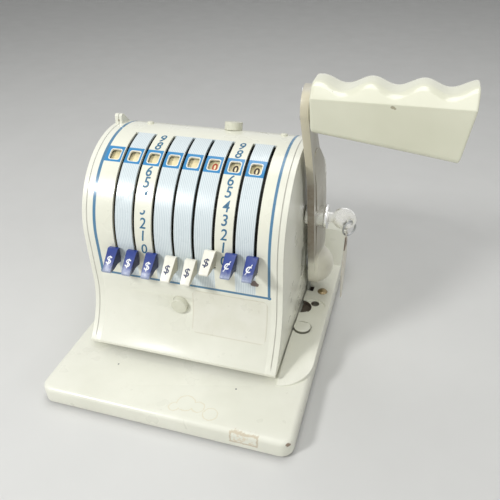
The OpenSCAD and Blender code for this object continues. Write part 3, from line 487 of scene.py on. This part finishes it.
def joinInto(target, bm):
    part = bpy.data.meshes.new("part")
    bm.to_mesh(part)
    bm.free()
    target.from_mesh(part)
    bpy.data.meshes.remove(part)


def cutAt(bm, point, normal, clear=False):
    bmesh.ops.bisect_plane(bm, geom=bm.verts[:] + bm.edges[:] + bm.faces[:], plane_co=point, plane_no=normal,
                           clear_inner=clear, dist=1e-5)


def stripFaces(bm, rows):
    # closes rows of corner points into one bar
    n = len(rows[0])
    for a, b in zip(rows, rows[1:]):
        for i in range(n):
            bm.faces.new((a[i], a[(i + 1) % n], b[(i + 1) % n], b[i]))


def mergedCopy(nodeName, flat=0.5):
    bm = bmesh.new()
    bm.from_mesh(nodes[nodeName].data)
    bmesh.ops.remove_doubles(bm, verts=bm.verts, dist=2e-6)
    bmesh.ops.dissolve_limit(bm, angle_limit=math.radians(flat), verts=bm.verts, edges=bm.edges)
    return bm


def softened(nodeName, width, share=None, sharp=30, segments=3, material="enamel", body="housing"):
    # the node's shape with rounded edges: share(point in mm) gives the part of the width an edge gets
    bm = mergedCopy(nodeName)
    layer = bm.edges.layers.float.new("bevel_weight_edge")
    for e in bm.edges:
        if len(e.link_faces) == 2 and e.calc_face_angle(0) > math.radians(sharp):
            middle = ((e.verts[0].co + e.verts[1].co) / 2 - place(0, 0, 0)) / mm
            e[layer] = share(middle) if share else 1.0
    obj = toObject(nodeName + "Soft", bm, paint[material])
    bevel = obj.modifiers.new("edges", "BEVEL")
    bevel.width, bevel.segments, bevel.limit_method, bevel.use_clamp_overlap = width * mm, segments, "WEIGHT", True
    bevel.miter_outer = "MITER_ARC"
    applied(obj)
    shadeByAngle(obj.data, 34)
    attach(obj, body)
    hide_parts(nodeName)
    return obj


finishOf = {
    "steel": ["throat_plate", "tie_rods", "lever_axle", "type_axle", "detent_bar", "button_bracket", "main_shaft",
              "platen", "lift_link", "shaft_bushings", "grip_screws", "key_ring"],
    "darkSteel": ["key_lever_%d" % k for k in range(1, 9)],
    "brass": ["axle_spacers"],
    "rubber": ["rubber_feet", "platen_pad"],
    "japan": ["bottom_cover"],
    "enamel": ["rear_cover"],
    "face": ["face_plate"],
    "bronzed": ["shelf_screw"],
    "type": ["type_wheel_%d" % k for k in range(1, 9)],
}
for finish, names in finishOf.items():
    for name in names:
        nodes[name].data.materials.clear()
        nodes[name].data.materials.append(paint[finish])
print("plain CAD nodes finished")

# cheeks: cast plates with a generous outer radius
cheek = {"round": 3.6, "segments": 6, "fine": 0.08, "lug": 0.22, "lugFrom": 158.5, "lugY": (10.5, 27.5),
         "openingY": (7, 26), "openingZ": (51, 80), "bore": (37, 49), "boreZone": 9, "left": -76.0, "right": 69.0}


def within(value, zone):
    return zone[0] < value < zone[1]


def cheekShare(outerX):
    c = cheek

    def share(p):
        if p.z > c["lugFrom"] and within(p.y, c["lugY"]):
            return c["lug"]
        inOpening = within(p.y, c["openingY"]) and within(p.z, c["openingZ"])
        byBore = math.hypot(p.y - c["bore"][0], p.z - c["bore"][1]) < c["boreZone"]
        return 1.0 if abs(p.x - outerX) < 0.3 and not inOpening and not byBore else c["fine"]
    return share


for side in ("left", "right"):
    softened(side + "_cheek", cheek["round"], cheekShare(cheek[side]), 25, cheek["segments"], "cheek")
print("cheeks rounded")

# base: soft casting edges where the shelf and the spine rise, a fine edge on pockets and bores
casting = {"round": 2.2, "fine": 0.12, "plateTop": 14.5, "pocketX": (55, 89), "pocketY": (-22, 45), "pocketTop": 24,
           "wellX": 72, "wellY": 60, "small": 0.4}


def castingShare(p):
    c = casting
    pocketed = within(p.x, c["pocketX"]) and within(p.y, c["pocketY"]) and p.z < c["pocketTop"]
    inWell = abs(p.x) < c["wellX"] and abs(p.y) < c["wellY"]
    return c["fine"] if p.z < c["plateTop"] or pocketed or inWell else 1.0


softened("base_casting", casting["round"], castingShare, 24, 4, "base")
softened("front_skirt", casting["small"], None, 40, 2)
softened("stop_pad", casting["small"], None, 40, 2, "stud")
print("base and skirt softened")

# key caps and their signs
keyShape = {
    "width": 8.0, "tipWidth": 6.4, "shift": -0.7, "reach": 16.9, "height": 12.3, "top": 99.6, "round": 0.5,
    "play": 0.04, "back": (-1.0, -0.4), "crown": (-3.7, 0.0), "slopeTop": (-4.3, -0.25), "tipRise": (1.8, 1.0),
    "tipStep": 0.4, "hollowR": 13.0, "hollowY": -6.2, "hollowDrop": 12.1, "hollowParts": 8,
    "wearDown": (0.74, 0.12), "wearOut": (0.78, 0.15),   # share of height and reach where it starts, and its ramp
    "raised": [0, 0, 0, 0, 0, 1, 1, 1], "blue": [1, 1, 1, 0, 0, 0, 1, 1],
    "signs": "$$$$$$¢¢", "signHeight": {"$": 6.8, "¢": 7.8}, "signUp": 0.47, "signShift": -0.25, "signLift": 0.02,
}


def raiseKey(co, steps):
    # turns a point of a key up by whole steps round the lever axle
    a = math.radians(head["step"] * steps)
    dy, dz = co.y - head["axleY"] * mm, co.z - head["axleZ"] * mm
    return Vector((co.x, head["axleY"] * mm + dy * math.cos(a) + dz * math.sin(a),
                   head["axleZ"] * mm - dy * math.sin(a) + dz * math.cos(a)))


def glyph(text, height, thick, bands=0.0, shear=0.0, narrow=1.0, bold=0.0):
    # a flat sign in mm, centred, lying in X-Y, cut into bands so that it can follow a curve
    curve = bpy.data.curves.new("sign", "FONT")
    curve.body, curve.size, curve.resolution_u, curve.shear = text, 10.0, 4, shear
    curve.extrude, curve.offset = 0.5, bold
    obj = link(bpy.data.objects.new("sign", curve))
    bpy.context.view_layer.update()
    mesh = bpy.data.meshes.new_from_object(obj.evaluated_get(bpy.context.evaluated_depsgraph_get()))
    bpy.data.objects.remove(obj)
    bm = bmesh.new()
    bm.from_mesh(mesh)
    bpy.data.meshes.remove(mesh)
    bmesh.ops.remove_doubles(bm, verts=bm.verts, dist=1e-4)
    xs, ys = [v.co.x for v in bm.verts], [v.co.y for v in bm.verts]
    scale = height / (max(ys) - min(ys))
    cx, cy = (max(xs) + min(xs)) / 2, (max(ys) + min(ys)) / 2
    for v in bm.verts:
        v.co = Vector(((v.co.x - cx) * scale * narrow, (v.co.y - cy) * scale, thick if v.co.z > 0 else 0.0))
    level = -height / 2 + bands
    while bands and level < height / 2:
        cutAt(bm, (0, level, 0), (0, 1, 0))
        level += bands
    return bm


def buildKey(k):
    s, x0, body = keyShape, slotX(k) + keyShape["shift"], "lever_%d" % k
    faceY, top, reach, high = head["faceY"], s["top"], s["reach"], s["height"]
    (upper, lower), step = s["tipRise"], s["tipStep"]
    slopeTop, slopeLow = Vector(s["slopeTop"]), Vector((-reach + step, -high + upper))
    profile = [s["back"], s["crown"], slopeTop, slopeLow, (-reach, -high + lower), (-reach + step, -high)]
    half = math.sqrt(s["hollowR"] ** 2 - s["hollowDrop"] ** 2)
    for i in range(s["hollowParts"] + 1):   # the hollow under the tip
        y = -half + i * 2 * half / s["hollowParts"]
        profile.append((s["hollowY"] + y, -high - s["hollowDrop"] + math.sqrt(s["hollowR"] ** 2 - y ** 2)))
    profile.append((s["back"][0], -high))
    bm = bmesh.new()
    rows = []
    narrowing = s["tipWidth"] - s["width"]
    widths = [s["width"] + narrowing * min(1.0, max(0.0, -z / high)) - s["play"] for y, z in profile]
    for side in (-1, 1):
        rows.append([bm.verts.new(place(x0 + side * w / 2, faceY + y, top + z)) for w, (y, z) in zip(widths, profile)])
    stripFaces(bm, rows)
    bm.faces.new(rows[0][::-1])
    bm.faces.new(rows[1])
    obj = toObject("keyCap%d" % k, bm, paint["blueKey" if s["blue"][k - 1] else "whiteKey"])
    bevel = obj.modifiers.new("edges", "BEVEL")
    bevel.width, bevel.segments, bevel.limit_method, bevel.angle_limit = s["round"] * mm, 4, "ANGLE", math.radians(38)
    applied(obj)
    shadeByAngle(obj.data, 50)
    wear = obj.data.attributes.new("tipWear", "FLOAT", "POINT")
    for v in obj.data.vertices:
        value = 1.0
        for share, (start, ramp) in (((top * mm - v.co.z) / (high * mm), s["wearDown"]),
                                     ((faceY * mm - v.co.y) / (reach * mm), s["wearOut"])):
            value *= max(0.0, min(1.0, (share - start) / ramp))
        wear.data[v.index].value = value
        v.co = raiseKey(v.co, s["raised"][k - 1])
    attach(obj, body)
    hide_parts("key_cap_%d" % k)
    # the sign lies on the sloping front
    sign = s["signs"][k - 1]
    bm = glyph(sign, s["signHeight"][sign], 0.1, shear=0.08, narrow=0.95, bold=0.06)
    up = (slopeTop - slopeLow).normalized()
    middle = slopeLow + (slopeTop - slopeLow) * s["signUp"]
    for v in bm.verts:
        flat = middle + up * v.co.y + Vector((-up.y, up.x)) * (v.co.z + s["signLift"])
        v.co = raiseKey(place(x0 + s["signShift"] + v.co.x, faceY + flat.x, top + flat.y), s["raised"][k - 1])
    toObject("keySign%d" % k, bm, paint["signWhite" if s["blue"][k - 1] else "signDark"], body)


for k in range(1, 9):
    buildKey(k)
print("key caps built")

# printed digits on the face
digits = {
    "height": 7.7, "lift": 0.05, "columns": {3: -29.65, 7: 28.35},
    "angles": {0: -2.3, 1: 7.4, 2: 16, 3: 25, 4: 33.6, 5: 42.3, 6: 49.9, 8: 70.0, 9: 77.7},
    "rubbed": [(4, (0.6, 0, 0), (1, 0.3, 0)), (4, (0, 0.2, 0), (0, 1, 0)), (3, (0, -0.6, 0), (0, -1, 0))],
}
for column, x0 in digits["columns"].items():
    joined = bmesh.new()
    for digit, angle in digits["angles"].items():
        bm = glyph(str(digit), digits["height"], 0.05, bands=1.2, shear=0.12, narrow=0.9, bold=0.1)
        for which, point, normal in digits["rubbed"]:   # half of these is gone from the third column
            if column == 3 and digit == which:
                cutAt(bm, point, normal, True)
        for v in bm.verts:
            v.co = faceAtHeight(x0 + v.co.x, arcLength(angle) + v.co.y, digits["lift"] + v.co.z)
        joinInto(joined, bm)
    toObject("faceDigits%d" % column, joined, paint["digitInk"], "housing")
print("face digits printed")

# lever strips: the digit for each step stands in the window
strip = {"radius": 57.5, "height": 6.2, "left": -11.6, "right": -1.8, "below": 95, "above": 6, "parts": 40,
         "inner": 0.02, "outer": 0.16, "digitLift": 0.18}
for k in range(1, 9):
    start = head["windowAngle"] + keyShape["raised"][k - 1] * head["step"]
    bm = bmesh.new()
    rows = []
    corners = [(strip[side], strip[skin]) for side, skin in
               (("left", "inner"), ("left", "outer"), ("right", "outer"), ("right", "inner"))]
    for i in range(strip["parts"] + 1):
        a = start - strip["below"] + i * (strip["below"] + strip["above"]) / strip["parts"]
        rows.append([bm.verts.new(onDrum(slotX(k) + x, a, strip["radius"] + out)) for x, out in corners])
    stripFaces(bm, rows)
    bm.faces.new(rows[0][::-1])
    bm.faces.new(rows[-1])
    toObject("leverStrip%d" % k, bm, paint["strip"], "lever_%d" % k)
    joined = bmesh.new()
    for n in range(10):
        bm = glyph(str(n), strip["height"], 0.04, bands=1.4, narrow=0.95, bold=0.3)
        for v in bm.verts:
            a = start - (n + 1) * head["step"] + math.degrees(v.co.y / strip["radius"])
            v.co = onDrum(slotX(k) - head["pitch"] / 2 + v.co.x, a, strip["radius"] + strip["digitLift"] + v.co.z)
        joinInto(joined, bm)
    toObject("stripDigits%d" % k, joined, paint["redInk" if k == 6 else "darkInk"], "lever_%d" % k)
print("lever strips made")

# blank label on the skirt
bm = bmesh.new()
outline = []
for cx, cz, a0 in ((1, 1, 0), (0, 1, 90), (0, 0, 180), (1, 0, 270)):
    for i in range(label["cornerSteps"] + 1):
        a = math.radians(a0 + i * 90 / label["cornerSteps"])
        outline.append((label["x"][cx] + (-1 if cx else 1) * label["round"] + label["round"] * math.cos(a),
                        label["z"][cz] + (-1 if cz else 1) * label["round"] + label["round"] * math.sin(a)))
bm.faces.new([bm.verts.new((x, z, 0)) for x, z in outline])
for z in range(40, 72, label["band"]):
    cutAt(bm, (0, z, 0), (0, 1, 0))
made = bmesh.ops.extrude_face_region(bm, geom=bm.faces[:])
for v in [g for g in made["geom"] if isinstance(g, bmesh.types.BMVert)]:
    v.co.z = label["thick"]
for v in bm.verts:
    v.co = skirtPoint(v.co.x, v.co.y, label["lift"] + v.co.z)
toObject("blankLabel", bm, paint["label"], "housing")
print("label laid")

# grip: moulded, four finger waves along the top
grip = {
    "x": 79.5, "length": 87.0, "top": 218.3, "rise": 1.9, "pitch": 27.8, "wave": 4.3, "first": 3.6,
    "ridgeY": -41.8, "ridgeZ": 210.6, "backY": -8.4, "lowLeft": 187.5, "lowRight": 176.7, "slant": 3.6, "endRound": 1.5,
    "slope": 0.7, "stations": 96,
}


def gripSection(u):
    # rounded outline in Y-Z at the way u (mm) along the grip, as (y, z) points
    g = grip
    along = max(0.0, u - g["first"])
    dip = g["wave"] / 2 * (1 - math.cos(2 * math.pi * along / g["pitch"]))
    crest = g["top"] + g["rise"] * u / g["length"] - dip
    low = g["lowLeft"] + (g["lowRight"] - g["lowLeft"]) * u / g["length"]
    ridgeY, backY = g["ridgeY"], g["backY"]
    edgeY = ridgeY + (crest - 2.0 - g["ridgeZ"]) * g["slope"]   # the flat front ends where the wave cuts it
    corners = [
        (ridgeY, g["ridgeZ"], 0.4), (edgeY, crest - 2.0, 0.8), (edgeY + 4.4, crest, 2.6),
        (backY - 8, crest + 0.2, 5.0), (backY, crest - 8, 5.0), (backY, low + 10, 5.0),
        (backY - 7, low + 0.5, 5.0), (ridgeY + 10.5, low, 3.0), (ridgeY + 6.8, low + 2.6, 2.4),
    ]
    points = []
    for i, (y, z, r) in enumerate(corners):
        p = Vector((y, z))
        a, b = Vector(corners[i - 1][:2]) - p, Vector(corners[(i + 1) % len(corners)][:2]) - p
        reach = min(r, a.length * 0.45, b.length * 0.45)
        pa, pb = p + a.normalized() * reach, p + b.normalized() * reach
        points += [pa * (1 - t) ** 2 + p * 2 * t * (1 - t) + pb * t ** 2 for t in (0, 0.25, 0.5, 0.75, 1)]
    return points


def buildGrip():
    g = grip
    r, length, n = g["endRound"], g["length"], g["stations"]
    ends = [0, r * 0.12, r * 0.35, r * 0.65, r]
    stations = ends + [r + i * (length - 2 * r) / n for i in range(1, n)] + [length - e for e in ends[::-1]]
    bm = bmesh.new()
    loops = []
    for u in stations:
        near = min(u, length - u)
        inset = r - math.sqrt(max(0.0, r ** 2 - (r - near) ** 2)) if near < r else 0.0
        points = gripSection(u)
        centre = sum(points, Vector((0, 0))) / len(points)
        loop = []
        for p in points:
            p = centre + (p - centre) * (1 - inset / max((p - centre).length, 1e-6))
            drop = max(0.0, (g["ridgeZ"] - p.y) / (g["ridgeZ"] - g["lowRight"]))
            loop.append(bm.verts.new(place(g["x"] + u - g["slant"] * drop * (u / length) ** 3, p.x, p.y)))
        loops.append(loop)
    stripFaces(bm, loops)
    for loop in (loops[0][::-1], loops[-1]):
        middle = bm.verts.new(sum((v.co for v in loop), Vector()) / len(loop))
        for i in range(len(loop)):
            bm.faces.new((loop[i], loop[(i + 1) % len(loop)], middle))
    obj = toObject("gripMoulding", bm, paint["grip"], smoothAngle=55)
    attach(obj, "handle")
    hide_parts("handle_grip")


buildGrip()
print("grip moulded")

# small pieces: width of the rounding in mm, its parts, sharpest fold left alone, finish and body
knobTop = {"z": 162, "below": 0.05}   # only the upper rim is fully rounded
smallParts = {
    "handle_arm": (1.0, 3, 32, "arm", "handle"), "lock_barrel": (0.6, 3, 40, "chrome", "handle"),
    "lock_key": (0.3, 2, 40, "nickel", "key"), "key_tag": (0.25, 2, 40, "tag", "tag"),
    "push_button": (0.9, 4, 40, "ivory", "button"), "thumb_knob": (2.0, 5, 40, "ivory", "knob"),
}
for name, (width, segments, sharp, finish, body) in smallParts.items():
    share = (lambda p: 1.0 if p.z > knobTop["z"] else knobTop["below"]) if name == "thumb_knob" else None
    softened(name, width, share, sharp, segments, finish, body)
print("small parts softened")


def screwTree():
    # sets one head on the middle of each face of the mesh, standing along the face's normal
    tree = bpy.data.node_groups.new("screwHeads", "GeometryNodeTree")
    for name, kind in (("Geometry", "Geometry"), ("Head", "Object"), ("Size", "Float"), ("Finish", "Material")):
        tree.interface.new_socket(name, in_out="INPUT", socket_type="NodeSocket" + kind)
    tree.interface.new_socket("Geometry", in_out="OUTPUT", socket_type="NodeSocketGeometry")
    kinds = {
        "source": "NodeGroupInput", "out": "NodeGroupOutput", "capture": "GeometryNodeCaptureAttribute",
        "normal": "GeometryNodeInputNormal", "centres": "GeometryNodeMeshToPoints", "info": "GeometryNodeObjectInfo",
        "turn": "FunctionNodeAlignRotationToVector", "set": "GeometryNodeInstanceOnPoints",
        "real": "GeometryNodeRealizeInstances", "finish": "GeometryNodeSetMaterial",
    }
    made = {name: tree.nodes.new(kind) for name, kind in kinds.items()}
    made["capture"].domain, made["centres"].mode, made["turn"].axis = "FACE", "FACES", "Z"
    made["capture"].capture_items.new("VECTOR", "direction")
    for start, output, end, socket in (
            ("source", "Geometry", "capture", "Geometry"), ("normal", "Normal", "capture", "direction"),
            ("capture", "Geometry", "centres", "Mesh"), ("centres", "Points", "set", "Points"),
            ("source", "Head", "info", "Object"), ("info", "Geometry", "set", "Instance"),
            ("capture", "direction", "turn", "Vector"), ("turn", "Rotation", "set", "Rotation"),
            ("source", "Size", "set", "Scale"), ("set", "Instances", "real", "Geometry"),
            ("real", "Geometry", "finish", "Geometry"), ("source", "Finish", "finish", "Material"),
            ("finish", "Geometry", "out", "Geometry")):
        tree.links.new(made[start].outputs[output], made[end].inputs[socket])
    return tree


slotted = {"radius": 2.5, "height": 1.6, "slot": 0.7, "sides": 32,
           "rise": ((1, -0.5), (1, 0.4), (0.94, 0.66), (0.8, 0.86), (0.5, 0.98), (0.08, 1.0))}


def slottedHead():
    # a slotted round head standing on z = 0
    s, bm = slotted, bmesh.new()
    rings = []
    for share, z in s["rise"]:
        turns = [a * 2 * math.pi / s["sides"] for a in range(s["sides"])]
        rings.append([bm.verts.new(Vector((s["radius"] * share * math.cos(a), s["radius"] * share * math.sin(a),
                                           z * s["height"])) * mm) for a in turns])
    stripFaces(bm, rings)
    bm.faces.new(rings[0][::-1])
    bm.faces.new(rings[-1])
    obj = toObject("slottedHead", bm, paint["steel"])
    bm = bmesh.new()
    bmesh.ops.create_cube(bm, size=1.0)
    for v in bm.verts:
        v.co = Vector((v.co.x * s["radius"] * 2.6, v.co.y * s["slot"], (v.co.z + 1.05) * s["height"])) * mm
    cutter = toObject("slotCutter", bm, paint["steel"])
    cut = obj.modifiers.new("slot", "BOOLEAN")
    cut.object, cut.operation, cut.solver = cutter, "DIFFERENCE", "EXACT"
    applied(obj)
    bpy.data.objects.remove(cutter)
    return obj


def setScrews(name, places, size, finish, nodeName):
    # a small triangle marks the place and the direction of each screw
    bm = bmesh.new()
    for point, normal in places:
        side = normal.orthogonal().normalized()
        other = normal.cross(side)
        bm.faces.new([bm.verts.new(point + (side * a + other * b) * 1e-5)
                      for a, b in ((1, 0), (-0.5, 0.87), (-0.5, -0.87))])
    mesh = bpy.data.meshes.new(name)
    bm.to_mesh(mesh)
    bm.free()
    obj = link(bpy.data.objects.new(name, mesh))
    modifier = obj.modifiers.new("screws", "NODES")
    modifier.node_group = screws
    ids = {item.name: item.identifier for item in screws.interface.items_tree if item.in_out == "INPUT"}
    for key, value in (("Head", template), ("Size", size), ("Finish", paint[finish])):
        modifier[ids[key]] = value
    applied(obj)
    shadeByAngle(obj.data, 40)
    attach(obj, "housing")
    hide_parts(nodeName)


screws, template = screwTree(), slottedHead()
topScrews = {"x": 51.0, "lean": 11.1, "size": 1.0}
bottomScrews = {"x": 76.0, "y": 66.0, "z": 3.0, "size": 0.92}
placesTop = []
for x in (-topScrews["x"], topScrews["x"]):
    point = onDrum(x, 90 + topScrews["lean"], head["faceR"])
    placesTop.append((point, (point - place(x, head["axleY"], head["axleZ"])).normalized()))
setScrews("topScrewHeads", placesTop, topScrews["size"], "ivory", "top_screws")
placesBottom = [(place(sx * bottomScrews["x"], sy * bottomScrews["y"], bottomScrews["z"]), Vector((0, 0, -1)))
                for sx in (-1, 1) for sy in (-1, 1)]
setScrews("coverScrewHeads", placesBottom, bottomScrews["size"], "steel", "bottom_screws")
bpy.data.objects.remove(template)
print("screws set")

# floor, light, camera
studio = {
    "floor": "#D6D6D3", "floorSecond": "#D4D4D1", "floorSize": 6, "aim": (0, 0, 0.08),
    "world": 0.25, "seen": 0.85, "sky": "#F4F5F6",
    "lights": [("keyLight", (-0.6, -0.77, 0.76), 0.22, 7.2), ("softbox", (0.25, -0.6, 1.25), 1.0, 4.2),
               ("overhead", (0.0, 0.3, 1.35), 0.8, 5.2), ("sideFill", (1.1, -0.5, 0.6), 0.9, 2.2)],
}
bpy.ops.mesh.primitive_plane_add(size=studio["floorSize"])
floor = bpy.context.object
floor.name = "floor"
floor.data.materials.append(surface("paleFloor", studio["floor"], studio["floorSecond"], 0.75, 60)[0])
for name, location, size, power in studio["lights"]:
    data = bpy.data.lights.new(name, "AREA")
    data.shape, data.size, data.energy = "DISK", size, power
    lamp = link(bpy.data.objects.new(name, data))
    lamp.location = location
    lamp.rotation_euler = (Vector(studio["aim"]) - Vector(location)).to_track_quat("-Z", "Y").to_euler()
world = bpy.data.worlds.new("softWorld")
bpy.context.scene.world = world
world.use_nodes = True
world.node_tree.nodes["Background"].inputs[0].default_value = hexColor(studio["sky"])
# the camera and the reflections see a white room, and only the lower strength lights the object
rays = addNode(world, "LightPath").outputs
seen = addNode(world, "Math", (rays["Is Camera Ray"], rays["Is Glossy Ray"]), operation="MAXIMUM")
strength = addNode(world, "MapRange", {0: seen, 3: studio["world"], 4: studio["seen"]})
feed(world, world.node_tree.nodes["Background"], {"Strength": strength})

# the camera's place in mm, its turn as an axis times an angle, and its focal length in pixels of the photo
view = {"place": (134.96489, -331.09760, 305.77554), "turn": (2.13772, 0.30204, -0.19053), "focalPixels": 545.909,
        "pixels": 500, "sensor": 36.0, "clip": (0.01, 20)}
cameraData = bpy.data.cameras.new("photoCamera")
cameraData.sensor_width = view["sensor"]
cameraData.lens = view["sensor"] * view["focalPixels"] / view["pixels"]
cameraData.clip_start, cameraData.clip_end = view["clip"]
camera = link(bpy.data.objects.new("photoCamera", cameraData))
axis = Vector(view["turn"])
toCamera = Matrix.Rotation(axis.length, 3, axis.normalized())
camera.matrix_world = (Matrix.Translation(place(*view["place"]))
                       @ (toCamera.transposed() @ Matrix.Diagonal((1, -1, -1))).to_4x4())
bpy.context.scene.camera = camera
bpy.context.scene.view_settings.view_transform = "Standard"
print("studio ready")
